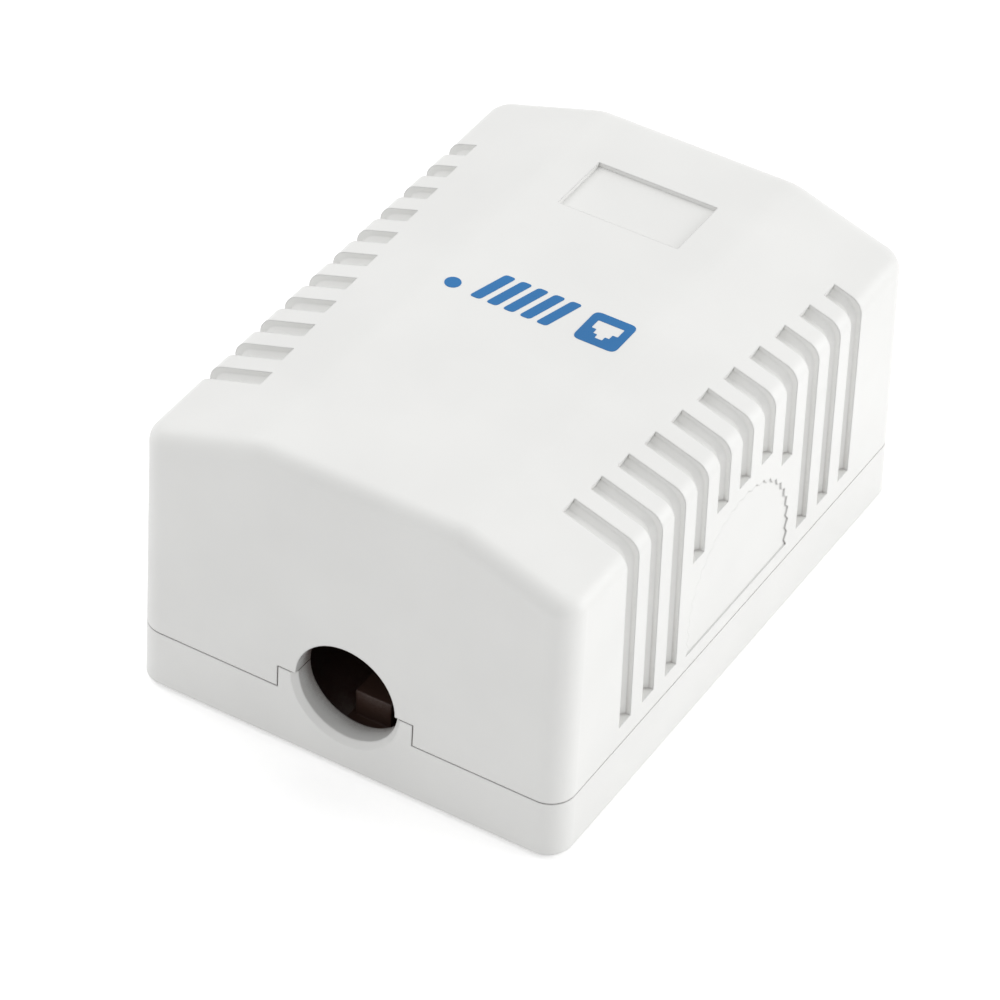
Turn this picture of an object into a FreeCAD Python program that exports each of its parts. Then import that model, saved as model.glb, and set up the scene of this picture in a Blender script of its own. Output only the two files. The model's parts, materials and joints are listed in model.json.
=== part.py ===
"""Surface mount jack box: a two-part moulded box with an eight-way modular jack inside.

Frame: X runs across the box, Y along it and Z up from its underside.  The jack's port
is in the front wall (-Y), the cable comes in through the rear wall (+Y), and the origin
is the centre of the underside.  All lengths are in millimetres and angles in degrees.
"""

import FreeCAD, Part
import math
import os
import re
import Sketcher

SIZES = {
    # The whole box
    "width": 43, "length": 60, "height": 31,
    "side_draft": 0.5,            # lean of the long walls
    "end_draft": 1.7,             # lean of the end walls
    "corner_radius": 2.4,         # upright corners, seen from above
    "side_wall": 2, "end_wall": 2.6,
    "seam_height": 6.2,           # where the base ends and the cover begins
    "seam_gap": 0.1,
    # Cover
    "roof": 2,
    "shoulder_drop": 3.7,         # from the flat top down to the eaves, where the walls begin
    "ridge_half_width": 10,       # where the shoulders meet the flat top
    "ridge_radius": 5,            # soft fold along that line
    "edge_radius": 1.8,           # rounding all round the top of the walls
    "label_width": 12.1, "label_length": 7.1, "label_depth": 0.45,
    "label_inset": 12.6,          # from the front face to the middle of the label recess
    # Grooves in the long sides, spread evenly about the middle
    "groove_count": 11, "groove_pitch": 3.87,
    "groove_width": 1.9, "groove_floor_width": 1, "groove_depth": 0.95,
    "groove_bend": 2.6,           # gentler than the eave that it crosses
    "groove_foot": 8.4,           # lower end of a long groove
    "groove_foot_arch": 18.3,     # the same beside the knock-out arch
    "groove_foot_top": 21.1,      # the same above the arch
    "groove_reach_rear": 14.9,    # |x| of the upper end, rearmost groove
    "groove_reach_front": 18.4,   # |x| of the upper end, foremost groove
    # Knock-out arch in each long side
    "arch_radius": 8.9, "arch_foot": 7.9, "arch_spring": 10.8,
    "arch_recess": 0.15, "tooth_pitch": 1.5, "tooth_depth": 0.4,
    "thinning_width": 0.8, "thinning_depth": 0.9,
    # Seam: a lip on the base stands inside a rebate of the cover
    "lip_thickness": 0.9, "lip_height": 1.4, "lip_radius": 1.6, "lip_clearance": 0.15,
    "rib_width": 3, "rib_rise": 0.1, "rib_place": 12, "rib_gap": 0.3,
    # Cable hole, half in the cover and half in a tongue of the base
    "hole_radius": 5, "hole_height": 8.5, "hole_chamfer": 0.5,
    "tongue_half_width": 6.75,
    # Base
    "floor": 2, "foot_chamfer": 0.5,
    "wall_hole_radius": 2, "wall_hole_spacing": 24,
    "wall_hole_inset": 10,        # from the rear face to the wall screws' holes
    "tie_bar_width": 3.6, "tie_bar_length": 7.4, "tie_bar_height": 2.7,
    "tie_bar_inset": 8.6,         # from the rear face to the middle of the tie bar
    "tie_slot_length": 3.4, "tie_slot_height": 1.5,
    # Circuit board
    "board_thickness": 1.6, "board_width": 30, "board_length": 40.2,
    "board_gap": 0.6,             # between the board and the inner face of the front wall
    "board_height": 5,            # underside of the board
    "board_corner": 1,
    "post_radius": 2.8,           # under the board's screws
    "post_side": 5,               # square posts under its pegs
    "screw_spread": 11.9, "screw_hole_radius": 1.3, "pilot_radius": 1.1, "pilot_depth": 3.6,
    "screw_inset": 8.2,           # from the board's front edge
    "peg_spread": 12.2, "peg_radius": 1, "peg_height": 2.4, "peg_clearance": 0.1,
    "peg_inset": 1.6,             # from the board's rear edge
    # Board screws
    "screw_shank_radius": 1, "screw_shank_length": 4.8, "screw_head_radius": 2.2,
    "screw_head_height": 1.5, "screw_slot_width": 0.6, "screw_slot_length": 2.6,
    "screw_slot_depth": 0.8,
    # Modular jack
    "jack_width": 15.4, "jack_tall": 13.2, "jack_deep": 20.9,
    "jack_setback": 0.7,          # of the jack's face behind the foot of the front wall
    "jack_wall": 0.8, "jack_post_radius": 1.6, "jack_post_spread": 5.7,
    "jack_post_inset": 10.3, "jack_post_length": 2.6, "jack_post_clearance": 0.05,
    "port_width": 11.9, "port_floor": 10.6, "port_roof": 17.3, "port_depth": 13.8,
    "latch_width": 6.4, "latch_floor": 8.5, "port_chamfer": 0.4,
    "notch_clearance": 0.4,       # between the jack and the cover's front wall
    # Contact carrier, a block in the rear of the jack
    "carrier_clearance": 0.1, "carrier_floor": 8.8, "carrier_top": 18.2,
    "carrier_slot_width": 0.66, "carrier_slot_depth": 0.6,
    "comb_low": 11.4, "comb_high": 16, "comb_depth": 1.2,
    # Jack contacts: bent spring strips
    "contact_count": 8, "contact_pitch": 1.02, "contact_width": 0.5, "contact_thickness": 0.35,
    "contact_bend": 0.4, "contact_tip_height": 12.7,
    "contact_turn": 3.2,          # from the jack's face back to the bend
    "contact_tail_height": 4.2, "contact_row_step": 2.54, "contact_jog_height": 7.8,
    "contact_jog_rise": 0.4,
    "pin_slot_width": 0.8, "pin_slot_length": 1.1,
    # Punch-down terminal blocks and their forked blades
    "block_spread": 10.6, "block_width": 7, "block_length": 16.4,
    "block_inset": 11.8,          # from the board's rear edge to the middle of a block
    "block_tall": 11.6, "block_shoulder": 3.2, "block_crest": 3.2,
    "way_count": 4, "way_pitch": 4, "way_width": 1.3, "way_depth": 7.2,
    "blade_width": 2.6, "blade_thickness": 0.4, "blade_clearance": 0.1, "blade_top_drop": 2.6,
    "fork_gap": 0.5, "fork_depth": 3.6, "fork_mouth": 1.2,
    "blade_tail_width": 0.8,
    # For drawing only
    "reach": 1,                   # how far a cutting sketch runs past what it cuts
    "sink": 0.5,                  # how far a pad starts inside what it stands on
}

MITRED = 1      # how a swept section passes a sharp corner of its path
TURN_STEPS = 4  # straights that a contact's turn is made of

doc = FreeCAD.newDocument("surface_jack_box")
sizes = doc.addObject("Spreadsheet::Sheet", "sizes")
for row, (name, number) in enumerate(SIZES.items(), start=1):
    sizes.set("A%d" % row, name)
    sizes.set("B%d" % row, str(number))
    sizes.setAlias("B%d" % row, name)
doc.recompute()


# ---------------------------------------------------------------- helpers

def size(name):
    return float(sizes.get(name))


def size_of(formula):
    """The number that a formula in the sheet's words comes to."""
    numbers = re.sub(r"[a-z][a-z_]+", lambda word: str(size(word.group())), formula)
    return FreeCAD.Units.parseQuantity(numbers).Value


def bound(formula):
    """Point the words of a formula at the sheet's cells."""
    def to_cell(match):
        word = match.group()
        return "sizes." + word if word in SIZES else word
    return re.sub(r"[a-z][a-z_]+", to_cell, formula)


def half_width_at(z):
    """Half the box's width at a height, as a formula."""
    return "(width / 2 - (%s) * tan(side_draft))" % z


def half_length_at(z):
    """Half the box's length at a height, as a formula."""
    return "(length / 2 - (%s) * tan(end_draft))" % z


def new_body(name):
    body = doc.addObject("PartDesign::Body", name)
    body.Label = name
    return body


def new_sketch(body, role, offset="0"):
    """A sketch on one of the body's own planes, moved along the plane's normal."""
    sketch = body.newObject("Sketcher::SketchObject", body.Name + "_sketch")
    plane = next(item for item in body.Origin.OriginFeatures if item.Role == role)
    sketch.AttachmentSupport = [(plane, "")]
    sketch.MapMode = "FlatFace"
    sketch.setExpression(".AttachmentOffset.Base.z", bound(offset))
    return sketch


def place_point(sketch, geometry, point, start, corner):
    """Hold a sketch point at a pair of formulas."""
    for axis, value, formula in zip(("DistanceX", "DistanceY"), start, corner):
        index = sketch.addConstraint(Sketcher.Constraint(axis, geometry, point, value))
        sketch.setExpression("Constraints[%d]" % index, bound(formula))


def add_polygon(sketch, corners):
    """A closed outline through corners that are pairs of formulas."""
    first = sketch.GeometryCount
    count = len(corners)
    start = [(10 * math.cos(2 * math.pi * turn / count), 10 * math.sin(2 * math.pi * turn / count))
             for turn in range(count)]
    points = [FreeCAD.Vector(x, y, 0) for x, y in start]
    for side in range(count):
        sketch.addGeometry(Part.LineSegment(points[side], points[(side + 1) % count]))
    for side in range(count):
        following = first + (side + 1) % count
        sketch.addConstraint(Sketcher.Constraint("Coincident", first + side, 2, following, 1))
        place_point(sketch, first + side, 1, start[side], corners[side])


def add_rectangle(sketch, left, right, low, high):
    add_polygon(sketch, [(left, low), (right, low), (right, high), (left, high)])


def add_centred_rectangle(sketch, x, y, wide, deep):
    left, right = ("%s - (%s) / 2" % (x, wide), "%s + (%s) / 2" % (x, wide))
    low, high = ("%s - (%s) / 2" % (y, deep), "%s + (%s) / 2" % (y, deep))
    add_rectangle(sketch, left, right, low, high)


def add_circle(sketch, x, y, radius):
    circle = Part.Circle(FreeCAD.Vector(1, 1, 0), FreeCAD.Vector(0, 0, 1), 1)
    index = sketch.addGeometry(circle)
    ring = sketch.addConstraint(Sketcher.Constraint("Radius", index, 1))
    sketch.setExpression("Constraints[%d]" % ring, bound(radius))
    place_point(sketch, index, 3, (1, 1), (x, y))


def extrude(kind, body, sketch, length, both_ways=False, turned=False):
    feature = body.newObject("PartDesign::" + kind, body.Name + "_" + kind.lower())
    feature.Profile = sketch
    feature.setExpression("Length", bound(length))
    feature.SideType = "Symmetric" if both_ways else "One side"
    feature.Reversed = turned
    doc.recompute()
    return feature


def pad(body, sketch, length, **ways):
    return extrude("Pad", body, sketch, length, **ways)


def pocket(body, sketch, length, **ways):
    """Cut a sketch into the body, and make sure that it took something away."""
    before = body.Shape.Volume
    feature = extrude("Pocket", body, sketch, length, **ways)
    if body.Shape.Volume > before - 1e-6:
        raise RuntimeError(feature.Name + " cuts nothing")
    return feature


def dress(kind, body, chosen, radius_name, radius):
    """Fillet or chamfer the edges of the body's tip that a test picks out."""
    base = body.Tip
    names = ["Edge%d" % number for number, edge in enumerate(base.Shape.Edges, start=1)
             if chosen(edge)]
    if not names:
        raise RuntimeError("no edge of %s to %s" % (base.Name, kind.lower()))
    feature = body.newObject("PartDesign::" + kind, body.Name + "_" + kind.lower())
    feature.Base = (base, names)
    feature.setExpression(radius_name, bound(radius))
    doc.recompute()
    return feature


def fillet(body, chosen, radius):
    return dress("Fillet", body, chosen, "Radius", radius)


def chamfer(body, chosen, width):
    return dress("Chamfer", body, chosen, "Size", width)


def runs_upright(edge):
    box = edge.BoundBox
    return box.ZLength > 4 * max(box.XLength, box.YLength)


def steps(count, pitch):
    """Formulas of evenly spaced places about zero."""
    return ["(%g * %s)" % (number - (count - 1) / 2, pitch) for number in range(count)]


# ---------------------------------------------------------------- shared places

EAVE_HEIGHT = "(height - shoulder_drop)"
COVER_FOOT = "(seam_height + seam_gap)"
LIP_TOP = "(seam_height + lip_height)"
INNER_FRONT = "(-length / 2 + end_wall)"
INNER_REAR = "(length / 2 - end_wall)"
BOARD_FRONT = "(%s + board_gap)" % INNER_FRONT
BOARD_REAR = "(%s + board_length)" % BOARD_FRONT
BOARD_TOP = "(board_height + board_thickness)"
SCREW_PLACE = "(%s + screw_inset)" % BOARD_FRONT
PEG_PLACE = "(%s - peg_inset)" % BOARD_REAR
JACK_FRONT = "(-length / 2 + jack_setback)"
JACK_REAR = "(%s + jack_deep)" % JACK_FRONT
JACK_TOP = "(%s + jack_tall)" % BOARD_TOP
PORT_END = "(%s + port_depth)" % JACK_FRONT
BLOCK_PLACE = "(%s - block_inset)" % BOARD_REAR
BLOCK_TOP = "(%s + block_tall)" % BOARD_TOP


# ---------------------------------------------------------------- outer form

def lean_the_ends(body, high):
    """Cut the two ends back to the end walls' draft."""
    sketch = new_sketch(body, "YZ_Plane")
    above = high + " + reach"
    beyond = "(length / 2 + reach)"
    for side in ("", "-"):
        add_polygon(sketch, [
            (side + half_length_at("0"), "0"), (side + half_length_at(above), above),
            (side + beyond, above), (side + beyond, "0")])
    pocket(body, sketch, "width + reach", both_ways=True)


def round_the_corners(body):
    """Round the four upright corners."""
    near_x = size("width") / 2 - size("side_wall")
    near_y = size("length") / 2 - size("end_wall")

    def at_corner(edge):
        middle = edge.CenterOfMass
        return runs_upright(edge) and abs(middle.x) > near_x and abs(middle.y) > near_y
    fillet(body, at_corner, "corner_radius")


# ---------------------------------------------------------------- cover

EAVE_HALF_WIDTH = half_width_at(EAVE_HEIGHT)
SHOULDER_RUN = "(%s - ridge_half_width)" % EAVE_HALF_WIDTH
SHOULDER_SLOPE = "(shoulder_drop / %s)" % SHOULDER_RUN
SHOULDER_COS = "(1 / sqrt(1 + %s ^ 2))" % SHOULDER_SLOPE


def make_cover():
    body = new_body("cover")
    foot_half_width = half_width_at(COVER_FOOT)
    sketch = new_sketch(body, "XZ_Plane")
    add_polygon(sketch, [
        ("-" + foot_half_width, COVER_FOOT), (foot_half_width, COVER_FOOT),
        (EAVE_HALF_WIDTH, EAVE_HEIGHT), ("ridge_half_width", "height"),
        ("-ridge_half_width", "height"), ("-" + EAVE_HALF_WIDTH, EAVE_HEIGHT)])
    pad(body, sketch, "length", both_ways=True)
    lean_the_ends(body, "height")
    round_the_corners(body)

    halfway_up = size("height") - size("shoulder_drop") / 2

    def along(edge):
        return edge.BoundBox.YLength > size("length") / 2

    def on_ridge(edge):
        return along(edge) and edge.BoundBox.ZMin > halfway_up
    fillet(body, on_ridge, "ridge_radius")

    def round_the_top(edge):
        low = edge.BoundBox.ZMin > size("height") - size("shoulder_drop") - size("side_wall")
        return low and not on_ridge(edge)
    fillet(body, round_the_top, "edge_radius")

    hollow_the_cover(body)
    cut_the_rebate(body)
    cut_the_jack_notch(body)
    cut_the_cable_hole(body)

    label = new_sketch(body, "XY_Plane", "height")
    add_centred_rectangle(label, "0", "-length / 2 + label_inset", "label_width", "label_length")
    pocket(body, label, "label_depth")
    return body


def hollow_the_cover(body):
    """The inside follows the outside, one wall thickness in."""
    inner_half_width = "(%s - side_wall)" % half_width_at(COVER_FOOT)
    inner_eave_half_width = "(%s - side_wall)" % EAVE_HALF_WIDTH
    inner_eave = "(%s + side_wall * %s - roof / %s)" % (EAVE_HEIGHT, SHOULDER_SLOPE, SHOULDER_COS)
    inner_ridge = "(ridge_half_width + (roof - roof / %s) / %s)" % (SHOULDER_COS, SHOULDER_SLOPE)
    below = COVER_FOOT + " - reach"
    sketch = new_sketch(body, "XZ_Plane")
    add_polygon(sketch, [
        ("-" + inner_half_width, below), (inner_half_width, below),
        (inner_eave_half_width, inner_eave), (inner_ridge, "height - roof"),
        ("-" + inner_ridge, "height - roof"), ("-" + inner_eave_half_width, inner_eave)])
    pocket(body, sketch, "length - 2 * end_wall", both_ways=True)


LIP_HALF_WIDTH = "(width / 2 - side_wall + lip_thickness)"
LIP_HALF_LENGTH = "(length / 2 - end_wall + lip_thickness)"


def at_lip_corner(clearance):
    """Tell whether an edge is an upright corner of the lip, or of its rebate."""
    corner_x = size("width") / 2 - size("side_wall") + size("lip_thickness") + clearance
    corner_y = size("length") / 2 - size("end_wall") + size("lip_thickness") + clearance

    def chosen(edge):
        middle = edge.CenterOfMass
        beside = abs(abs(middle.x) - corner_x) < 0.01 and abs(abs(middle.y) - corner_y) < 0.01
        return beside and runs_upright(edge)
    return chosen


def cut_the_rebate(body):
    """The cover's foot is thinned from inside, and its ledge rests on the base's lip."""
    sketch = new_sketch(body, "XY_Plane", LIP_TOP)
    add_centred_rectangle(sketch, "0", "0", "2 * (%s + lip_clearance)" % LIP_HALF_WIDTH,
                          "2 * (%s + lip_clearance)" % LIP_HALF_LENGTH)
    pocket(body, sketch, "lip_height + reach")
    fillet(body, at_lip_corner(size("lip_clearance")), "lip_radius + lip_clearance")


def cut_the_jack_notch(body):
    sketch = new_sketch(body, "XY_Plane", JACK_TOP + " + notch_clearance")
    add_notch_outline(sketch)
    pocket(body, sketch, JACK_TOP)


def add_notch_outline(sketch):
    """The jack's place in the front wall, seen from above."""
    half = "(jack_width / 2 + notch_clearance)"
    add_rectangle(sketch, "-" + half, half, "-length / 2 - reach", INNER_FRONT + " + reach")


def cut_the_cable_hole(body):
    """Half of the round hole, and the notch in which the base's tongue stands."""
    sketch = new_sketch(body, "XY_Plane", "hole_height + seam_gap / 2")
    half = "(tongue_half_width + seam_gap)"
    add_rectangle(sketch, "-" + half, half, INNER_REAR + " - reach", "length / 2 + reach")
    pocket(body, sketch, "hole_height")
    bore_the_rear_wall(body)


def bore_the_rear_wall(body):
    sketch = new_sketch(body, "XZ_Plane", "-(length / 2)")
    add_circle(sketch, "0", "hole_height", "hole_radius")
    pocket(body, sketch, "2 * end_wall + reach", both_ways=True)


def groove_cutter(reach, foot, y):
    """A flat-floored bar sunk in wall, eave and shoulder on the +X side."""
    lean = math.tan(math.radians(size("side_draft")))
    eave_height = size("height") - size("shoulder_drop")
    eave = FreeCAD.Vector(size("width") / 2 - eave_height * lean, y, eave_height)
    ridge = FreeCAD.Vector(size("ridge_half_width"), y, size("height"))
    low = FreeCAD.Vector(size("width") / 2 - foot * lean, y, foot)
    up_wall = (eave - low).normalize()
    up_shoulder = (ridge - eave).normalize()
    wall_out = FreeCAD.Vector(up_wall.z, 0, -up_wall.x)
    shoulder_out = FreeCAD.Vector(up_shoulder.z, 0, -up_shoulder.x)
    radius = size("groove_bend")
    setback = radius * math.tan(wall_out.getAngle(shoulder_out) / 2)
    centre = eave - up_wall * setback - wall_out * radius
    bend_low = centre + wall_out * radius
    bend_high = centre + shoulder_out * radius
    bend_middle = centre + (wall_out + shoulder_out).normalize() * radius
    high = bend_high + up_shoulder * ((bend_high.x - reach) / -up_shoulder.x)
    path = Part.Wire([
        Part.LineSegment(low, bend_low).toShape(),
        Part.Arc(bend_low, bend_middle, bend_high).toShape(),
        Part.LineSegment(bend_high, high).toShape()])
    half, floor_half = size("groove_width") / 2, size("groove_floor_width") / 2
    depth = size("groove_depth")
    wall = depth - (half - floor_half)
    outline = [(-half, -depth), (half, -depth), (half, wall), (floor_half, depth),
               (-floor_half, depth), (-half, wall)]
    corners = [low + FreeCAD.Vector(0, across, 0) - wall_out * sunk for across, sunk in outline]
    section = Part.makePolygon(corners + corners[:1])
    return path.makePipeShell([section], True, False)


def groove_places():
    """Y of each groove, from the rear to the front."""
    count = int(size("groove_count"))
    return [((count - 1) / 2 - number) * size("groove_pitch") for number in range(count)]


def groove_foot(y):
    """Long grooves at both ends, shorter ones over the arch."""
    away = abs(y) / size("groove_pitch")
    if away < 1.5:
        return size("groove_foot_top")
    return size("groove_foot_arch") if away < 2.5 else size("groove_foot")


def make_groove_cutters():
    places = groove_places()
    rear, front = size("groove_reach_rear"), size("groove_reach_front")
    cutters = []
    for y in places:
        share = (places[0] - y) / (places[0] - places[-1])
        bar = groove_cutter(rear + share * (front - rear), groove_foot(y), y)
        cutters += [bar, bar.mirror(FreeCAD.Vector(0, 0, 0), FreeCAD.Vector(1, 0, 0))]
    return cutters


def arch_outline(radius):
    """The knock-out's outline in the plane x = 0: two upright legs and a half circle."""
    foot, spring = size("arch_foot"), size("arch_spring")
    corners = [FreeCAD.Vector(0, -radius, foot), FreeCAD.Vector(0, -radius, spring),
               FreeCAD.Vector(0, 0, spring + radius), FreeCAD.Vector(0, radius, spring),
               FreeCAD.Vector(0, radius, foot)]
    return Part.Wire([
        Part.LineSegment(corners[0], corners[1]).toShape(),
        Part.Arc(corners[1], corners[2], corners[3]).toShape(),
        Part.LineSegment(corners[3], corners[4]).toShape()])


def toothed_arch():
    """The knock-out's face: an arch whose edge is cut in fine teeth."""
    outer = arch_outline(size("arch_radius"))
    inner = arch_outline(size("arch_radius") - size("tooth_depth"))
    count = 2 * round(outer.Length / size("tooth_pitch"))
    tips = outer.discretize(Number=count + 1)
    roots = inner.discretize(Number=count + 1)
    points = [tip if number % 2 == 0 else root
              for number, (tip, root) in enumerate(zip(tips, roots))]
    return Part.Face(Part.makePolygon(points + points[:1]))


def make_arch_cutters():
    """A shallow recess outside and a thinned line inside, for each knock-out."""
    drop = (size("arch_foot") + size("arch_spring")) / 2
    lean = math.tan(math.radians(size("side_draft")))
    recess = toothed_arch().extrude(FreeCAD.Vector(size("arch_recess") + size("reach"), 0, 0))
    recess.translate(FreeCAD.Vector(-size("arch_recess"), 0, -drop))
    turn = FreeCAD.Rotation(FreeCAD.Vector(0, 1, 0), -size("side_draft"))
    recess.Placement = FreeCAD.Placement(
        FreeCAD.Vector(size("width") / 2 - drop * lean, 0, drop), turn).multiply(recess.Placement)
    half = size("thinning_width") / 2
    foot = size("arch_foot")
    rings = []
    for radius in (size("arch_radius") + half, size("arch_radius") - half):
        sill = Part.LineSegment(FreeCAD.Vector(0, radius, foot), FreeCAD.Vector(0, -radius, foot))
        rings.append(Part.Face(Part.Wire(arch_outline(radius).Edges + [sill.toShape()])))
    ring = rings[0].cut(rings[1])
    thinning = ring.extrude(FreeCAD.Vector(size("reach") + size("thinning_depth"), 0, 0))
    thinning.translate(FreeCAD.Vector(size("width") / 2 - size("side_wall") - size("reach"), 0, 0))
    cutters = [recess, thinning]
    flipped = [shape.mirror(FreeCAD.Vector(0, 0, 0), FreeCAD.Vector(1, 0, 0)) for shape in cutters]
    return cutters + flipped


def finish_cover(body):
    """Cut the grooves and the knock-out lines, which bend round the moulded form."""
    tools = doc.addObject("Part::Feature", "cover_cutters")
    tools.Shape = Part.makeCompound(make_groove_cutters() + make_arch_cutters())
    body.Label = "cover_form"
    cut = doc.addObject("Part::Cut", "cover_cut")
    cut.Base = body
    cut.Tool = tools
    cut.Label = "cover"
    return cut


# ---------------------------------------------------------------- base

def make_base():
    body = new_body("base")
    sketch = new_sketch(body, "XZ_Plane")
    top_half_width = half_width_at("seam_height")
    add_polygon(sketch, [
        ("-width / 2", "0"), ("width / 2", "0"),
        (top_half_width, "seam_height"), ("-" + top_half_width, "seam_height")])
    pad(body, sketch, "length", both_ways=True)
    lean_the_ends(body, "seam_height")
    round_the_corners(body)
    chamfer(body, lambda edge: edge.BoundBox.ZMax < 0.01, "foot_chamfer")
    hollow_the_base(body)
    raise_the_lip(body)
    raise_the_tongue(body)
    add_posts(body)
    add_wall_holes(body)
    add_tie_bar(body)
    return body


def hollow_the_base(body):
    sketch = new_sketch(body, "XY_Plane", "seam_height")
    add_centred_rectangle(sketch, "0", "0", "width - 2 * side_wall", "length - 2 * end_wall")
    pocket(body, sketch, "seam_height - floor")


def raise_the_lip(body):
    """A thin lip inside the wall, open for the jack, with grip ribs for the cover."""
    sketch = new_sketch(body, "XY_Plane", "seam_height - sink")
    add_centred_rectangle(sketch, "0", "0", "2 * " + LIP_HALF_WIDTH, "2 * " + LIP_HALF_LENGTH)
    add_centred_rectangle(sketch, "0", "0", "width - 2 * side_wall", "length - 2 * end_wall")
    pad(body, sketch, "lip_height + sink")
    fillet(body, at_lip_corner(0), "lip_radius")
    gap = new_sketch(body, "XY_Plane", LIP_TOP)
    add_notch_outline(gap)
    pocket(body, gap, "lip_height")
    ribs = new_sketch(body, "XY_Plane", "seam_height + rib_gap")
    for side in ("-", ""):
        for place in ("-rib_place", "rib_place"):
            add_centred_rectangle(ribs, side + LIP_HALF_WIDTH, place, "2 * rib_rise", "rib_width")
    pad(body, ribs, "lip_height - 2 * rib_gap")


def raise_the_tongue(body):
    """The rear wall rises to the middle of the cable hole and holds its lower half."""
    low, top = "seam_height - sink", "(hole_height - seam_gap / 2)"
    sketch = new_sketch(body, "YZ_Plane")
    add_polygon(sketch, [
        (INNER_REAR, low), (half_length_at(low), low), (half_length_at(top), top), (INNER_REAR, top)])
    pad(body, sketch, "2 * tongue_half_width", both_ways=True)
    bore_the_rear_wall(body)
    outside = size("length") / 2 - size("end_wall") / 2
    radius = size("hole_radius")

    def at_hole_mouth(edge):
        box = edge.BoundBox
        return (box.YMin > outside and abs(box.XLength - 2 * radius) < 0.1
                and abs(box.ZMin - size("hole_height") + radius) < 0.05)
    chamfer(body, at_hole_mouth, "hole_chamfer")


def add_posts(body):
    """Four posts carry the board: two take its screws, two have locating pegs."""
    posts = new_sketch(body, "XY_Plane", "floor - sink")
    pegs = new_sketch(body, "XY_Plane", "floor - sink")
    pilots = new_sketch(body, "XY_Plane", "board_height")
    for side in ("-", ""):
        add_circle(posts, side + "screw_spread", SCREW_PLACE, "post_radius")
        add_centred_rectangle(posts, side + "peg_spread", PEG_PLACE, "post_side", "post_side")
        add_circle(pegs, side + "peg_spread", PEG_PLACE, "peg_radius")
        add_circle(pilots, side + "screw_spread", SCREW_PLACE, "pilot_radius")
    pad(body, posts, "board_height - floor + sink")
    pad(body, pegs, "board_height - floor + sink + peg_height")
    pocket(body, pilots, "pilot_depth")


def add_wall_holes(body):
    holes = new_sketch(body, "XY_Plane", "floor")
    for side in ("-", ""):
        add_circle(holes, side + "wall_hole_spacing / 2", "length / 2 - wall_hole_inset",
                   "wall_hole_radius")
    pocket(body, holes, "floor")


def add_tie_bar(body):
    """A small bridge on the floor, for a cable tie behind the hole."""
    place = "(length / 2 - tie_bar_inset)"
    bar = new_sketch(body, "XY_Plane", "floor - sink")
    add_centred_rectangle(bar, "0", place, "tie_bar_width", "tie_bar_length")
    pad(body, bar, "tie_bar_height + sink")
    slot = new_sketch(body, "YZ_Plane")
    add_rectangle(slot, place + " - tie_slot_length / 2", place + " + tie_slot_length / 2",
                  "floor", "floor + tie_slot_height")
    pocket(body, slot, "tie_bar_width + reach", both_ways=True)


# ---------------------------------------------------------------- circuit board

CARRIER_REAR = "(%s - carrier_clearance)" % JACK_REAR
CONTACT_REAR = "(%s - carrier_slot_depth / 2)" % CARRIER_REAR


def contact_rows():
    """Place of each jack contact: its x, and the y of its tail, which steps fore and aft."""
    rows = []
    for number, x in enumerate(steps(int(size("contact_count")), "contact_pitch")):
        tail = CONTACT_REAR if number % 2 == 0 else "(%s - contact_row_step)" % CONTACT_REAR
        rows.append((x, tail))
    return rows


def way_places():
    """Places of the wire slots of a terminal block, along Y."""
    return ["(%s + %s)" % (BLOCK_PLACE, step)
            for step in steps(int(size("way_count")), "way_pitch")]


def make_board():
    body = new_body("circuit_board")
    sketch = new_sketch(body, "XY_Plane", "board_height")
    add_rectangle(sketch, "-board_width / 2", "board_width / 2", BOARD_FRONT, BOARD_REAR)
    post_place = "(%s + jack_post_inset)" % JACK_FRONT
    for side in ("-", ""):
        add_circle(sketch, side + "screw_spread", SCREW_PLACE, "screw_hole_radius")
        add_circle(sketch, side + "peg_spread", PEG_PLACE, "peg_radius + peg_clearance")
        add_circle(sketch, side + "jack_post_spread", post_place,
                   "jack_post_radius + jack_post_clearance")
        for way in way_places():
            add_centred_rectangle(sketch, side + "block_spread", way,
                                  "pin_slot_width", "pin_slot_length")
    for x, tail in contact_rows():
        add_centred_rectangle(sketch, x, tail, "pin_slot_width", "pin_slot_width")
    pad(body, sketch, "board_thickness")
    near_x = size("board_width") / 2 - size("board_corner")

    def at_corner(edge):
        middle = edge.CenterOfMass
        beyond = middle.y > size_of(PEG_PLACE) or middle.y < size_of(SCREW_PLACE)
        return runs_upright(edge) and abs(middle.x) > near_x and beyond
    fillet(body, at_corner, "board_corner")
    return body


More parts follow.
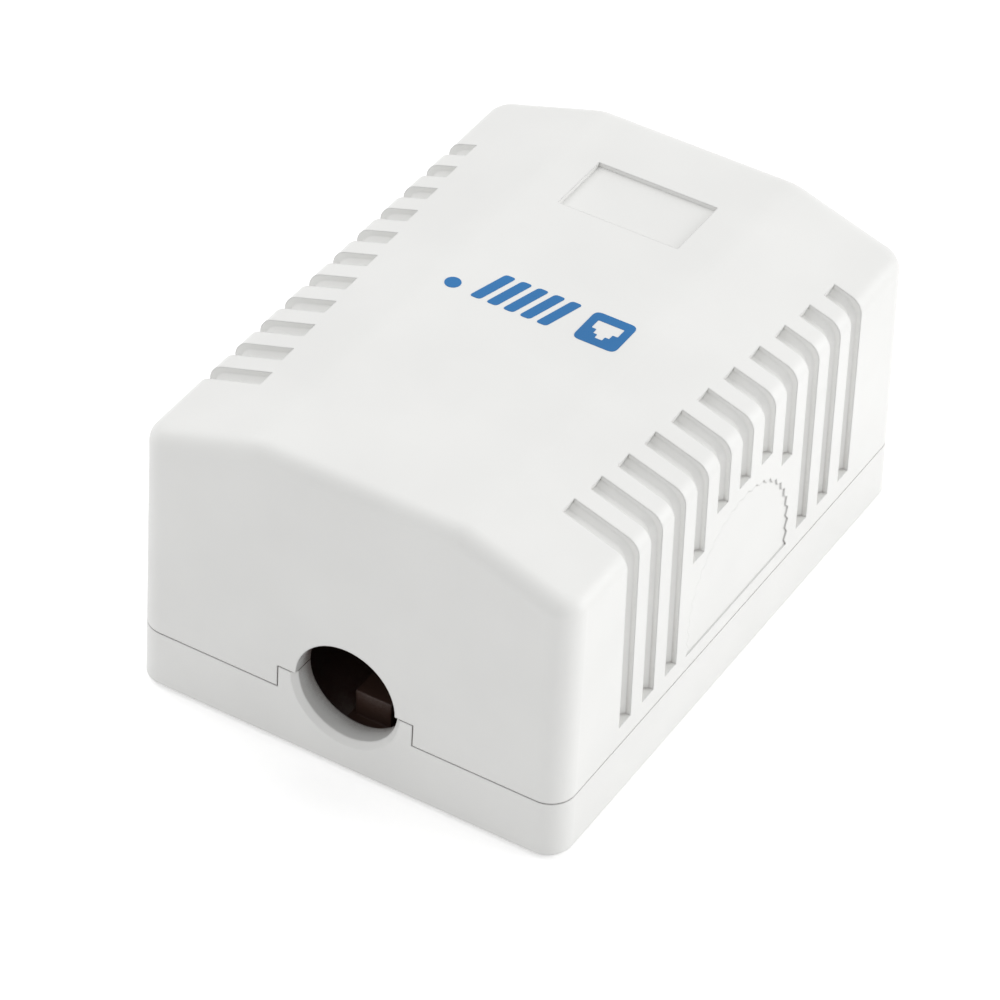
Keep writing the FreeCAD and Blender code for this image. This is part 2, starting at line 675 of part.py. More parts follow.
def make_screw(name, x):
    """A small pan-head screw with a crossed slot, standing on the board."""
    shank = doc.addObject("Part::Cylinder", name + "_shank")
    head = doc.addObject("Part::Cylinder", name + "_head")
    shank.setExpression("Radius", bound("screw_shank_radius"))
    shank.setExpression("Height", bound("screw_shank_length"))
    shank.setExpression(".Placement.Base.z", bound(BOARD_TOP + " - screw_shank_length"))
    head.setExpression("Radius", bound("screw_head_radius"))
    head.setExpression("Height", bound("screw_head_height"))
    head.setExpression(".Placement.Base.z", bound(BOARD_TOP))
    slots = []
    for turn, (wide, deep) in enumerate((("screw_slot_length", "screw_slot_width"),
                                         ("screw_slot_width", "screw_slot_length"))):
        slot = doc.addObject("Part::Box", "%s_slot%d" % (name, turn))
        slot.setExpression("Length", bound(wide))
        slot.setExpression("Width", bound(deep))
        slot.setExpression("Height", bound("screw_slot_depth + reach"))
        slot.setExpression(".Placement.Base.x", bound("%s - %s / 2" % (x, wide)))
        slot.setExpression(".Placement.Base.y", bound("%s - %s / 2" % (SCREW_PLACE, deep)))
        slot.setExpression(".Placement.Base.z",
                           bound(BOARD_TOP + " + screw_head_height - screw_slot_depth"))
        slots.append(slot)
    for round_part in (shank, head):
        round_part.setExpression(".Placement.Base.x", bound(x))
        round_part.setExpression(".Placement.Base.y", bound(SCREW_PLACE))
    solid = doc.addObject("Part::MultiFuse", name + "_solid")
    solid.Shapes = [shank, head]
    cross = doc.addObject("Part::MultiFuse", name + "_cross")
    cross.Shapes = slots
    screw = doc.addObject("Part::Cut", name)
    screw.Base = solid
    screw.Tool = cross
    return screw


def make_screws():
    group = doc.addObject("Part::Compound", "board_screws")
    group.Links = [make_screw("screw_left", "-screw_spread"), make_screw("screw_right", "screw_spread")]
    return group


# ---------------------------------------------------------------- modular jack

def make_jack_housing():
    body = new_body("jack_housing")
    block = new_sketch(body, "XY_Plane", BOARD_TOP)
    add_rectangle(block, "-jack_width / 2", "jack_width / 2", JACK_FRONT, JACK_REAR)
    pad(body, block, "jack_tall")
    posts = new_sketch(body, "XY_Plane", BOARD_TOP + " + sink")
    for side in ("-", ""):
        add_circle(posts, side + "jack_post_spread", "%s + jack_post_inset" % JACK_FRONT,
                   "jack_post_radius")
    pad(body, posts, "jack_post_length + sink", turned=True)
    cut_the_port(body)
    channel = new_sketch(body, "XY_Plane", JACK_TOP + " - jack_wall")
    half_channel = "((contact_count + 0.4) * contact_pitch / 2)"
    add_rectangle(channel, "-" + half_channel, half_channel,
                  JACK_FRONT + " + contact_turn - contact_bend - reach", JACK_REAR + " + reach")
    pocket(body, channel, JACK_TOP + " - jack_wall - port_roof + reach")
    recess = new_sketch(body, "XY_Plane", "carrier_top + carrier_clearance")
    add_rectangle(recess, "-port_width / 2", "port_width / 2",
                  PORT_END + " - sink", JACK_REAR + " + reach")
    pocket(body, recess, "jack_tall")
    return body


def cut_the_port(body):
    """A stepped mouth: the plug's body above, and the slot for its latch below."""
    port = new_sketch(body, "XZ_Plane", "-(%s + port_depth / 2)" % JACK_FRONT)
    add_polygon(port, [
        ("-latch_width / 2", "latch_floor"), ("latch_width / 2", "latch_floor"),
        ("latch_width / 2", "port_floor"), ("port_width / 2", "port_floor"),
        ("port_width / 2", "port_roof"), ("-port_width / 2", "port_roof"),
        ("-port_width / 2", "port_floor"), ("-latch_width / 2", "port_floor")])
    pocket(body, port, "port_depth", both_ways=True)
    front = size_of(JACK_FRONT)
    middle_height = (size("port_roof") + size("port_floor")) / 2

    def at_port_mouth(edge):
        box = edge.BoundBox
        in_face = box.YMax < front + 0.01
        inside = max(abs(box.XMin), abs(box.XMax)) < size("jack_width") / 2 - 0.01
        tall = abs(edge.CenterOfMass.z - middle_height) < size("port_roof") - size("latch_floor")
        return in_face and inside and tall
    chamfer(body, at_port_mouth, "port_chamfer")


def make_carrier():
    """A block with a groove for every contact up its rear, over its top and in its front."""
    body = new_body("contact_carrier")
    block = new_sketch(body, "XY_Plane", "carrier_floor")
    wide = "(port_width - 2 * carrier_clearance)"
    add_rectangle(block, "-%s / 2" % wide, "%s / 2" % wide, PORT_END, CARRIER_REAR)
    pad(body, block, "carrier_top - carrier_floor")
    rear = new_sketch(body, "XY_Plane", "carrier_top")
    comb = new_sketch(body, "XY_Plane", "comb_high")
    top = new_sketch(body, "XZ_Plane", "-(%s + %s) / 2" % (PORT_END, CARRIER_REAR))
    for x, _tail in contact_rows():
        left = "%s - carrier_slot_width / 2" % x
        right = "%s + carrier_slot_width / 2" % x
        add_rectangle(rear, left, right,
                      CARRIER_REAR + " - carrier_slot_depth", CARRIER_REAR + " + reach")
        add_rectangle(comb, left, right, PORT_END + " - reach", PORT_END + " + comb_depth")
        add_rectangle(top, left, right, "carrier_top - carrier_slot_depth", "carrier_top + reach")
    pocket(body, rear, "carrier_top")
    pocket(body, comb, "comb_high - comb_low")
    pocket(body, top, "jack_deep", both_ways=True)
    return body


def turned(before, corner, after, radius):
    """Points round a corner: an arc of one radius in short straights."""
    back = (before - corner).normalize()
    onward = (after - corner).normalize()
    half = back.getAngle(onward) / 2
    start = corner + back * (radius / math.tan(half))
    centre = corner + (back + onward).normalize() * (radius / math.sin(half))
    axis = back.cross(onward).normalize()
    sweep = math.degrees(math.pi - 2 * half)
    spoke = start - centre
    turns = [-sweep * step / TURN_STEPS for step in range(TURN_STEPS + 1)]
    return [centre + FreeCAD.Rotation(axis, turn).multVec(spoke) for turn in turns]


def make_jack_contact(number):
    """A spring strip: tail in the board, up the carrier's rear, over its top and back down
    inside the port, where its tip rests in the carrier's comb."""
    rear = size_of(CONTACT_REAR)
    top = size("carrier_top") - size("carrier_slot_depth") / 2
    turn = size_of(JACK_FRONT) + size("contact_turn") - 2 * size("contact_bend")
    jog = size("contact_jog_height")
    stepped = number % 2 == 1
    tail = rear - size("contact_row_step") if stepped else rear
    points = [FreeCAD.Vector(0, tail, size("contact_tail_height"))]
    if stepped:
        points += [FreeCAD.Vector(0, tail, jog),
                   FreeCAD.Vector(0, rear, jog + size("contact_jog_rise"))]
    front_turn = FreeCAD.Vector(0, turn, top)
    tip_place = size_of(PORT_END) + size("comb_depth") / 2
    tip = FreeCAD.Vector(0, tip_place, size("contact_tip_height"))
    points.append(FreeCAD.Vector(0, rear, top))
    points += turned(points[-1], front_turn, tip, size("contact_bend") / 2) + [tip]
    path = Part.makePolygon(points)
    wide, thick = size("contact_width") / 2, size("contact_thickness") / 2
    low = points[0]
    corners = [low + FreeCAD.Vector(x, y, 0) for x, y in
               ((-wide, -thick), (wide, -thick), (wide, thick), (-wide, thick))]
    section = Part.makePolygon(corners + corners[:1])
    contact = doc.addObject("Part::Feature", "jack_contact_%d" % (number + 1))
    contact.Shape = path.makePipeShell([section], True, False, MITRED)
    count = int(size("contact_count"))
    x = (number - (count - 1) / 2) * size("contact_pitch")
    contact.Placement = FreeCAD.Placement(FreeCAD.Vector(x, 0, 0), FreeCAD.Rotation())
    return contact


# ---------------------------------------------------------------- terminals

def make_terminal_block(name, side):
    """A punch-down block: a crested bar with a slot for each wire and a well for each blade."""
    body = new_body(name)
    profile = new_sketch(body, "XZ_Plane", "-" + BLOCK_PLACE)
    middle = side + "block_spread"
    shoulder = BLOCK_TOP + " - block_shoulder"
    add_polygon(profile, [
        (middle + " - block_width / 2", BOARD_TOP), (middle + " + block_width / 2", BOARD_TOP),
        (middle + " + block_width / 2", shoulder), (middle + " + block_crest / 2", BLOCK_TOP),
        (middle + " - block_crest / 2", BLOCK_TOP), (middle + " - block_width / 2", shoulder)])
    pad(body, profile, "block_length", both_ways=True)
    slots = new_sketch(body, "XY_Plane", BLOCK_TOP)
    wells = new_sketch(body, "XY_Plane", BLOCK_TOP + " - blade_top_drop + reach")
    for way in way_places():
        add_centred_rectangle(slots, middle, way, "block_width + reach", "way_width")
        add_centred_rectangle(wells, middle, way, "blade_thickness + 2 * blade_clearance",
                              "blade_width + 2 * blade_clearance")
    pocket(body, slots, "way_depth")
    pocket(body, wells, "block_tall")
    return body


def make_terminal_contact(number):
    """A blade with a forked top that bites the wire, and a tail through the board."""
    ways = way_places()
    side = "-" if number < len(ways) else ""
    y = ways[number % len(ways)]
    body = new_body("terminal_contact_%d" % (number + 1))
    sketch = new_sketch(body, "YZ_Plane", side + "block_spread")
    top = "(%s - blade_top_drop)" % BLOCK_TOP
    half, tail, gap = "blade_width / 2", "blade_tail_width / 2", "fork_gap / 2"
    mouth = "fork_mouth / 2"
    right = [(tail, "contact_tail_height"), (tail, BOARD_TOP), (half, BOARD_TOP), (half, top),
             (mouth, top), (gap, top + " - fork_mouth"), (gap, top + " - fork_depth")]
    outline = [("%s + %s" % (y, dy), z) for dy, z in right]
    outline += [("%s - %s" % (y, dy), z) for dy, z in reversed(right)]
    add_polygon(sketch, outline)
    pad(body, sketch, "blade_thickness", both_ways=True)
    return body


# ---------------------------------------------------------------- the assembly

def make_all():
    cover = finish_cover(make_cover())
    pieces = [make_base(), cover, make_board(), make_screws(), make_jack_housing(), make_carrier()]
    pieces += [make_jack_contact(number) for number in range(int(size("contact_count")))]
    pieces += [make_terminal_block("terminal_block_left", "-"),
               make_terminal_block("terminal_block_right", "")]
    pieces += [make_terminal_contact(number) for number in range(2 * int(size("way_count")))]
    doc.recompute()
    return pieces


def check(pieces):
    for item in doc.Objects:
        if "Invalid" in item.State or "Error" in item.State:
            raise RuntimeError("%s did not compute: %s" % (item.Name, item.State))
    for piece in pieces:
        if piece.Shape.isNull() or not piece.Shape.isValid():
            raise RuntimeError(piece.Label + " has no valid shape")


def write(pieces):
    os.makedirs("parts", exist_ok=True)
    for piece in pieces:
        piece.Shape.exportStep("parts/%s.step" % piece.Label)
        print("%-22s %8.1f mm3, %d solid(s)" % (piece.Label, piece.Shape.Volume,
                                                len(piece.Shape.Solids)))


parts_list = make_all()
check(parts_list)
write(parts_list)
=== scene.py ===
"""Surface mount jack box: finishes, print, floor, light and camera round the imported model.

The model's frame is kept: metres, X across the box, Y along it with the port at -Y, Z up.
"""

import json
import math

import bpy
from mathutils import Matrix, Vector

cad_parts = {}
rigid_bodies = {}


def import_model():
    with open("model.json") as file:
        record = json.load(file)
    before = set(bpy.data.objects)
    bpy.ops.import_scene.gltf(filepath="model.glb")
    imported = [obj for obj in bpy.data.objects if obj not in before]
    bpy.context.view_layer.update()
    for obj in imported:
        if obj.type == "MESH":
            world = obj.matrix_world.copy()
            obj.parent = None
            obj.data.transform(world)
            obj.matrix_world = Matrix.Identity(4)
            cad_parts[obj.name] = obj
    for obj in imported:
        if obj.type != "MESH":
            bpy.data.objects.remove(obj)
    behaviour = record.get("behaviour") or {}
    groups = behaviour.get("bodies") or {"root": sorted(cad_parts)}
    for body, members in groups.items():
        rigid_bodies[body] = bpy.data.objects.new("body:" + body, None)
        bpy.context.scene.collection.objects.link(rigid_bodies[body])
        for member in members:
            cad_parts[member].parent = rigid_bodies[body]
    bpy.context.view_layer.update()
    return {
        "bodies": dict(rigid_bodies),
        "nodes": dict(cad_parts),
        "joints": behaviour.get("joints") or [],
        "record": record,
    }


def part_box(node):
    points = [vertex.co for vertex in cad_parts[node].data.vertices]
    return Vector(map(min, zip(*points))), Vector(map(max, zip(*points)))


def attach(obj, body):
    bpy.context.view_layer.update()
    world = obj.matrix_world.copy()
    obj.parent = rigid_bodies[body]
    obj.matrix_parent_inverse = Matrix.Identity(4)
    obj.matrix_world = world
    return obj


MM = 0.001

# ---------------------------------------------------------------- colours, linear

WHITE_PLASTIC = (0.83, 0.83, 0.815)
# painted shade: the dark brown put into the white plastic inside the shut box
PAINTED_SHADE_BROWN = (0.09, 0.05, 0.038)
BLOCK_PLASTIC = (0.03, 0.024, 0.02)
BLACK_PLASTIC = (0.012, 0.012, 0.013)
CARRIER_PLASTIC = (0.045, 0.047, 0.052)
PRINT_BLUE = (0.005, 0.155, 0.42)
BOARD_GREEN = (0.012, 0.105, 0.035)
GOLD = (0.86, 0.6, 0.24)
TIN = (0.72, 0.72, 0.7)
STEEL = (0.6, 0.6, 0.61)
FLOOR_WHITE = (0.9, 0.9, 0.9)

# ---------------------------------------------------------------- grain of the materials

CLOUD_SCALE = 90                    # features per metre
GLOSS_SCALE = 450
GRAIN_SCALE = 9000
WEAR_SCALE = 2500
MOTTLE_SCALE = 700
WEAVE_SCALE = 2400
NOISE_SPAN = (0.3, 0.7)             # where most values of a noise lie
TINT_SPAN = (0.35, 0.65)
EDGE_RADIUS = 0.25 * MM             # softening of the shell's edges in its shading
EDGE_SAMPLES = 6


# ---------------------------------------------------------------- painted shade inside the shut box

PAINTED_SHADE_REACH = 40 * MM               # surfaces this near count as closing a place in
PAINTED_SHADE_RANGE = (0.1, 0.2)            # share of open sky at which the plastic is painted dark with shade, and left clear
PAINTED_SHADE_GAIN = 0.5                    # how much of that share counts between the walls
PAINTED_SHADE_SAMPLES = 8
BAR_SHADE_GAIN = 0.25                     # the same on the tie bar, which faces the cable hole, so its painted shade is deeper
BAR_X = 2.2 * MM                    # half the width round the bar, and its far end
BAR_Y = 26 * MM
HOLLOW_X = 18.9 * MM                # the space between the walls, from the middle
HOLLOW_Y = (27.9 * MM, 29.4 * MM)   # from the inside of an end wall to near its outside
HOLLOW_Z = 13 * MM
FOOT_Z = (0.3 * MM, 1 * MM)         # the underside gets no painted shade, though it stands on the floor


# ---------------------------------------------------------------- materials

def new_material(name, colour, roughness, metallic=0.0):
    """A Principled material with its plain values on the shader's own sockets."""
    material = bpy.data.materials.new(name)
    material.use_nodes = True
    shader = material.node_tree.nodes["Principled BSDF"]
    shader.inputs["Base Color"].default_value = (*colour, 1)
    shader.inputs["Roughness"].default_value = roughness
    shader.inputs["Metallic"].default_value = metallic
    return material, shader


def object_place(material):
    """The object's own coordinates, in metres."""
    return material.node_tree.nodes.new("ShaderNodeTexCoord").outputs["Object"]


def add_noise(material, scale, detail=3.0):
    """Noise in the object's own coordinates, in features per metre."""
    nodes, links = material.node_tree.nodes, material.node_tree.links
    noise = nodes.new("ShaderNodeTexNoise")
    noise.inputs["Scale"].default_value = scale
    noise.inputs["Detail"].default_value = detail
    links.new(object_place(material), noise.inputs["Vector"])
    return noise


def add_bump(material, shader, pattern, height, edge_radius=0.0):
    """A fine relief of a given height in metres, on edges softened to a radius."""
    nodes, links = material.node_tree.nodes, material.node_tree.links
    bump = nodes.new("ShaderNodeBump")
    bump.inputs["Distance"].default_value = height
    links.new(pattern.outputs["Fac"], bump.inputs["Height"])
    links.new(bump.outputs["Normal"], shader.inputs["Normal"])
    if edge_radius:
        soft = nodes.new("ShaderNodeBevel")
        soft.samples = EDGE_SAMPLES
        soft.inputs["Radius"].default_value = edge_radius
        links.new(soft.outputs["Normal"], bump.inputs["Normal"])


def add_slope(material, value, start, end, low, high):
    """Carry a number from one range to another, held at both ends."""
    nodes, links = material.node_tree.nodes, material.node_tree.links
    spread = nodes.new("ShaderNodeMapRange")
    limits = {"From Min": start, "From Max": end, "To Min": low, "To Max": high}
    for name, number in limits.items():
        spread.inputs[name].default_value = number
    links.new(value, spread.inputs["Value"])
    return spread.outputs["Result"]


def add_range(material, shader, noise, low, high):
    """Spread the roughness between two numbers with the noise."""
    spread = add_slope(material, noise.outputs["Fac"], *NOISE_SPAN, low, high)
    material.node_tree.links.new(spread, shader.inputs["Roughness"])


def add_tint(material, shader, noise, dark, light):
    """Vary the base colour between two tints with the noise."""
    nodes, links = material.node_tree.nodes, material.node_tree.links
    ramp = nodes.new("ShaderNodeValToRGB")
    for stop, position, colour in zip(ramp.color_ramp.elements, TINT_SPAN, (dark, light)):
        stop.position = position
        stop.color = (*colour, 1)
    links.new(noise.outputs["Fac"], ramp.inputs["Fac"])
    links.new(ramp.outputs["Color"], shader.inputs["Base Color"])


def shaded(colour, factor):
    """The colour made darker or lighter."""
    return tuple(channel * factor for channel in colour)


def add_number(material, operation, *values):
    """A Math node over plain numbers and other nodes' sockets."""
    nodes, links = material.node_tree.nodes, material.node_tree.links
    step = nodes.new("ShaderNodeMath")
    step.operation = operation
    for socket, value in zip(step.inputs, values):
        if isinstance(value, (int, float)):
            socket.default_value = value
        else:
            links.new(value, socket)
    return step.outputs[0]


def add_inside_shade_mask(material, x, y, z):
    """How much of the open sky is taken off between the walls, as a share, which deepens the
    painted shade there.
    """
    between_sides = add_number(material, "LESS_THAN", x, HOLLOW_X)
    between_ends = add_slope(material, y, *HOLLOW_Y, 1, 0)
    below_roof = add_number(material, "LESS_THAN", z, HOLLOW_Z)
    inside = add_number(material, "MULTIPLY", between_sides, between_ends)
    inside = add_number(material, "MULTIPLY", inside, below_roof)
    beside_bar = add_number(material, "LESS_THAN", x, BAR_X)
    before_wall = add_number(material, "LESS_THAN", y, BAR_Y)
    at_bar = add_number(material, "MULTIPLY", beside_bar, before_wall)
    loss = add_slope(material, at_bar, 0, 1, 1 - PAINTED_SHADE_GAIN, 1 - BAR_SHADE_GAIN)
    return add_number(material, "MULTIPLY", inside, loss)


def add_painted_shade(material, shader, painted_shade_colour):
    """Paint shade into the plastic's colour by ambient occlusion, dark brown where the shut box
    closes it in, and leave most of its outside as it is.
    """
    nodes, links = material.node_tree.nodes, material.node_tree.links
    size = nodes.new("ShaderNodeVectorMath")
    size.operation = "ABSOLUTE"
    split = nodes.new("ShaderNodeSeparateXYZ")
    links.new(object_place(material), size.inputs[0])
    links.new(size.outputs[0], split.inputs[0])
    x, y, z = split.outputs
    gain = add_number(material, "SUBTRACT", 1, add_inside_shade_mask(material, x, y, z))

    shelter = nodes.new("ShaderNodeAmbientOcclusion")
    shelter.samples = PAINTED_SHADE_SAMPLES
    shelter.inputs["Distance"].default_value = PAINTED_SHADE_REACH
    openness = add_number(material, "MULTIPLY", shelter.outputs["AO"], gain)
    daylight = add_slope(material, openness, *PAINTED_SHADE_RANGE, 0, 1)
    underside = add_slope(material, z, *FOOT_Z, 1, 0)
    daylight = add_number(material, "MAXIMUM", daylight, underside)

    mix = nodes.new("ShaderNodeMix")
    mix.data_type = "RGBA"
    deep, clear = [socket for socket in mix.inputs if socket.type == "RGBA"]
    mixed = [socket for socket in mix.outputs if socket.type == "RGBA"][0]
    deep.default_value = (*painted_shade_colour, 1)
    links.new(shader.inputs["Base Color"].links[0].from_socket, clear)
    links.new(daylight, mix.inputs["Factor"])
    links.new(mixed, shader.inputs["Base Color"])


def moulded(name, colour, roughness, grain_height, tint_spread=0.015, edge_radius=0.0,
            painted_shade_colour=None):
    """Moulded plastic: faint clouding, uneven gloss and a very fine grain, and painted shade
    where a shade colour is given.
    """
    material, shader = new_material(name, colour, roughness)
    shader.inputs["IOR"].default_value = 1.5
    clouds = add_noise(material, CLOUD_SCALE, 2)
    add_tint(material, shader, clouds,
             shaded(colour, 1 - tint_spread), shaded(colour, 1 + tint_spread))
    gloss = add_noise(material, GLOSS_SCALE, 3)
    add_range(material, shader, gloss, roughness - 0.04, roughness + 0.04)
    grain = add_noise(material, GRAIN_SCALE, 4)
    add_bump(material, shader, grain, grain_height, edge_radius)
    if painted_shade_colour:
        add_painted_shade(material, shader, painted_shade_colour)
    return material


def metal(name, colour, roughness, tint_spread=0.06):
    """Plated or plain metal: small uneven tints and gloss."""
    material, shader = new_material(name, colour, roughness, 1.0)
    wear = add_noise(material, WEAR_SCALE, 4)
    add_tint(material, shader, wear, shaded(colour, 1 - tint_spread), colour)
    add_range(material, shader, wear, roughness - 0.06, roughness + 0.08)
    add_bump(material, shader, wear, 0.004 * MM)
    return material


def laminate():
    """Solder mask over woven glass: a fine weave shows faintly through."""
    material, shader = new_material("board_laminate", BOARD_GREEN, 0.3)
    nodes, links = material.node_tree.nodes, material.node_tree.links
    mottle = add_noise(material, MOTTLE_SCALE, 3)
    add_tint(material, shader, mottle, shaded(BOARD_GREEN, 0.9), shaded(BOARD_GREEN, 1.12))
    weave = nodes.new("ShaderNodeTexChecker")
    weave.inputs["Scale"].default_value = WEAVE_SCALE
    links.new(object_place(material), weave.inputs["Vector"])
    add_bump(material, shader, weave, 0.003 * MM)
    return material


def make_finishes():
    """One material for each slot of the record, and one for the print."""
    return {
        # the white shell gets painted shade where the shut box closes it in
        "white_shell": moulded("white_shell", WHITE_PLASTIC, 0.42, 0.002 * MM,
                               edge_radius=EDGE_RADIUS, painted_shade_colour=PAINTED_SHADE_BROWN),
        "block_plastic": moulded("block_plastic", BLOCK_PLASTIC, 0.42, 0.002 * MM),
        "jack_black": moulded("jack_black", BLACK_PLASTIC, 0.38, 0.003 * MM, 0.1),
        "carrier_plastic": moulded("carrier_plastic", CARRIER_PLASTIC, 0.45, 0.003 * MM, 0.1),
        "board_laminate": laminate(),
        "screw_steel": metal("screw_steel", STEEL, 0.3),
        "contact_gold": metal("contact_gold", GOLD, 0.22),
        "blade_tin": metal("blade_tin", TIN, 0.34),
        "print_ink": moulded("print_ink", PRINT_BLUE, 0.45, 0.004 * MM, 0.08),
    }


def dress(frame, finishes):
    """Give every node of the model the finish of its material slot."""
    for part in frame["record"]["subparts"]:
        mesh = frame["nodes"][part["node"]].data
        mesh.materials.clear()
        mesh.materials.append(finishes[part["material_slot"]])


# ---------------------------------------------------------------- print on the top

PRINT_LENGTH = 17.3 * MM            # the whole row, along X
PRINT_HEIGHT = 4.2 * MM
PRINT_CENTRE = (-0.2 * MM, -0.25 * MM)
PRINT_RISE = 0.03 * MM              # how far the ink stands above the plastic
PRINT_SLANT = 0.28                  # sideways lean of the bars, per unit of height
BAR_WIDTH = 1.05 * MM
BAR_COUNT = 5
DOT_RADIUS = 0.75 * MM
CORNER = 0.35 * MM


def rounded(corners, radius, steps=5):
    """An outline through corners, each turned on a small quadratic arc."""
    points = []
    count = len(corners)
    for index, corner in enumerate(corners):
        here = Vector(corner)
        before = Vector(corners[index - 1]) - here
        after = Vector(corners[(index + 1) % count]) - here
        start = here + before.normalized() * min(radius, before.length / 2)
        end = here + after.normalized() * min(radius, after.length / 2)
        for step in range(steps + 1):
            share = step / steps
            points.append(start.lerp(here, share).lerp(here.lerp(end, share), share))
    return points


def circle(centre, radius, steps=40):
    """An outline round a centre."""
    turns = [2 * math.pi * step / steps for step in range(steps)]
    return [Vector((centre[0] + radius * math.cos(turn), centre[1] + radius * math.sin(turn)))
            for turn in turns]


def socket_outlines(left, height):
    """A plain socket: a rounded square with the stepped shape of a modular port cut out."""
    half = height / 2
    middle = left + half
    frame = [(left, -half), (left + height, -half), (left + height, half), (left, half)]
    # Half widths of the port's three steps, then its levels, all as shares of the height.
    wide, step, latch = 0.31 * height, 0.19 * height, 0.09 * height
    low, shelf, tongue, top = -0.26 * height, 0.02 * height, 0.16 * height, 0.28 * height
    port = [(middle - wide, low), (middle + wide, low), (middle + wide, shelf),
            (middle + step, shelf), (middle + step, tongue), (middle + latch, tongue),
            (middle + latch, top), (middle - latch, top), (middle - latch, tongue),
            (middle - step, tongue), (middle - step, shelf), (middle - wide, shelf)]
    return [rounded(frame, 2 * CORNER), rounded(port, CORNER / 3)]


def make_print(finish):
    """A row of plain blue marks on the lid: a socket, slanted bars and a dot."""
    left, half = -PRINT_LENGTH / 2, PRINT_HEIGHT / 2
    outlines = socket_outlines(left, PRINT_HEIGHT)
    first = left + PRINT_HEIGHT + BAR_WIDTH + PRINT_SLANT * half
    last = PRINT_LENGTH / 2 - 2 * DOT_RADIUS - BAR_WIDTH - PRINT_SLANT * half
    for number in range(BAR_COUNT):
        middle = first + (last - first) * (number + 0.5) / BAR_COUNT
        lean = PRINT_SLANT * half
        bar = [(middle - BAR_WIDTH / 2 - lean, -half), (middle + BAR_WIDTH / 2 - lean, -half),
               (middle + BAR_WIDTH / 2 + lean, half), (middle - BAR_WIDTH / 2 + lean, half)]
        outlines.append(rounded(bar, CORNER))
    outlines.append(circle((PRINT_LENGTH / 2 - DOT_RADIUS, half - DOT_RADIUS), DOT_RADIUS))

    curve = bpy.data.curves.new("print_outlines", "CURVE")
    curve.dimensions = "2D"
    curve.fill_mode = "BOTH"
    curve.extrude = PRINT_RISE
    for outline in outlines:
        spline = curve.splines.new("POLY")
        spline.points.add(len(outline) - 1)
        for point, place in zip(spline.points, outline):
            point.co = (place.x, place.y, 0, 1)
        spline.use_cyclic_u = True
    drawn = bpy.data.objects.new("print_outlines", curve)
    mesh = bpy.data.meshes.new_from_object(drawn)
    bpy.data.objects.remove(drawn)
    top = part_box("cover")[1].z
    mesh.transform(Matrix.Translation((*PRINT_CENTRE, top)))
    mesh.materials.clear()
    mesh.materials.append(finish)
    ink = bpy.data.objects.new("top_print", mesh)
    bpy.context.collection.objects.link(ink)
    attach(ink, "cover")


# ---------------------------------------------------------------- floor and light

FLOOR_SIZE = 6
FLOOR_GLOW = 0.35                   # added only where the camera or a reflection sees the floor
SKY_STRENGTH = 0.67
LIGHT_AIM = (0, 0, 0.02)
LAMPS = {                           # place, size and power
    "key": ((-0.8, -0.5, 0.28), 0.7, 4.4),
    "top": ((0.45, -0.1, 0.6), 0.7, 2.1),
}


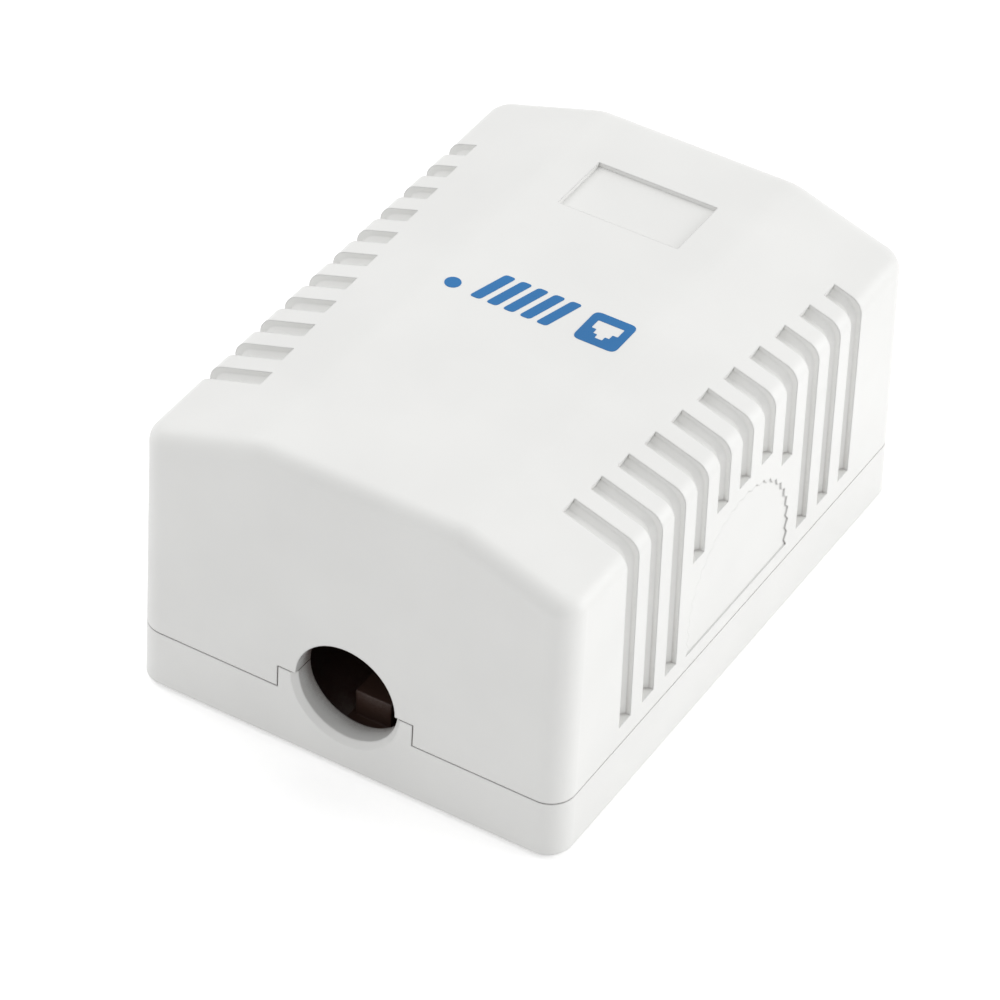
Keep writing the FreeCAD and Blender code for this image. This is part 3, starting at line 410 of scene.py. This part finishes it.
def make_floor():
    """A wide pale floor that keeps the shadow but reads as white where it is lit."""
    bpy.ops.mesh.primitive_plane_add(size=FLOOR_SIZE, location=(0, 0, 0))
    floor = bpy.context.object
    floor.name = "floor"
    material = bpy.data.materials.new("floor_white")
    material.use_nodes = True
    nodes, links = material.node_tree.nodes, material.node_tree.links
    nodes.clear()
    out = nodes.new("ShaderNodeOutputMaterial")
    diffuse = nodes.new("ShaderNodeBsdfDiffuse")
    diffuse.inputs["Color"].default_value = (*FLOOR_WHITE, 1)
    glow = nodes.new("ShaderNodeEmission")
    glow.inputs["Strength"].default_value = FLOOR_GLOW
    both = nodes.new("ShaderNodeAddShader")
    path = nodes.new("ShaderNodeLightPath")
    seen = nodes.new("ShaderNodeMath")
    seen.operation = "MAXIMUM"
    pick = nodes.new("ShaderNodeMixShader")
    links.new(path.outputs["Is Camera Ray"], seen.inputs[0])
    links.new(path.outputs["Is Glossy Ray"], seen.inputs[1])
    links.new(seen.outputs[0], pick.inputs["Fac"])
    links.new(diffuse.outputs[0], both.inputs[0])
    links.new(glow.outputs[0], both.inputs[1])
    links.new(diffuse.outputs[0], pick.inputs[1])
    links.new(both.outputs[0], pick.inputs[2])
    links.new(pick.outputs[0], out.inputs["Surface"])
    floor.data.materials.append(material)


def add_area_light(name, place, size, power):
    """A square soft lamp turned to the box."""
    data = bpy.data.lights.new(name, "AREA")
    data.shape = "SQUARE"
    data.size = size
    data.energy = power
    lamp = bpy.data.objects.new(name, data)
    lamp.location = place
    lamp.rotation_euler = (Vector(LIGHT_AIM) - Vector(place)).to_track_quat("-Z", "Y").to_euler()
    bpy.context.collection.objects.link(lamp)


def make_light():
    """An even white sky and two soft lamps."""
    world = bpy.data.worlds.new("world")
    bpy.context.scene.world = world
    world.use_nodes = True
    sky = world.node_tree.nodes["Background"]
    sky.inputs["Color"].default_value = (1, 1, 1, 1)
    sky.inputs["Strength"].default_value = SKY_STRENGTH
    for name, (place, size, power) in LAMPS.items():
        add_area_light(name, place, size, power)


# ---------------------------------------------------------------- camera

AZIMUTH = math.radians(209.902)     # where the camera stands: 0 is in front, 90 at +X
ELEVATION = math.radians(40.3)
ROLL = math.radians(2.39)
DISTANCE = 426.29 * MM
AIM = Vector((-0.242, 5.199, 13)) * MM
LENS = 175.5


def make_camera():
    """The camera at the photograph's viewing angle, with its slight roll."""
    data = bpy.data.cameras.new("camera")
    data.lens = LENS
    data.sensor_width = 36
    data.clip_start = 0.01
    camera = bpy.data.objects.new("camera", data)
    level = math.cos(ELEVATION)
    back = Vector((math.sin(AZIMUTH) * level, -math.cos(AZIMUTH) * level, math.sin(ELEVATION)))
    right = Vector((0, 0, 1)).cross(back).normalized()
    up = back.cross(right)
    across = right * math.cos(ROLL) + up * math.sin(ROLL)
    upward = up * math.cos(ROLL) - right * math.sin(ROLL)
    turn = Matrix((across, upward, back)).transposed().to_4x4()
    camera.matrix_world = Matrix.Translation(AIM + back * DISTANCE) @ turn
    bpy.context.collection.objects.link(camera)
    bpy.context.scene.camera = camera


# ---------------------------------------------------------------- the scene

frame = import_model()
finishes = make_finishes()
dress(frame, finishes)
make_print(finishes["print_ink"])
make_floor()
make_light()
make_camera()
bpy.context.scene.view_settings.view_transform = "Standard"
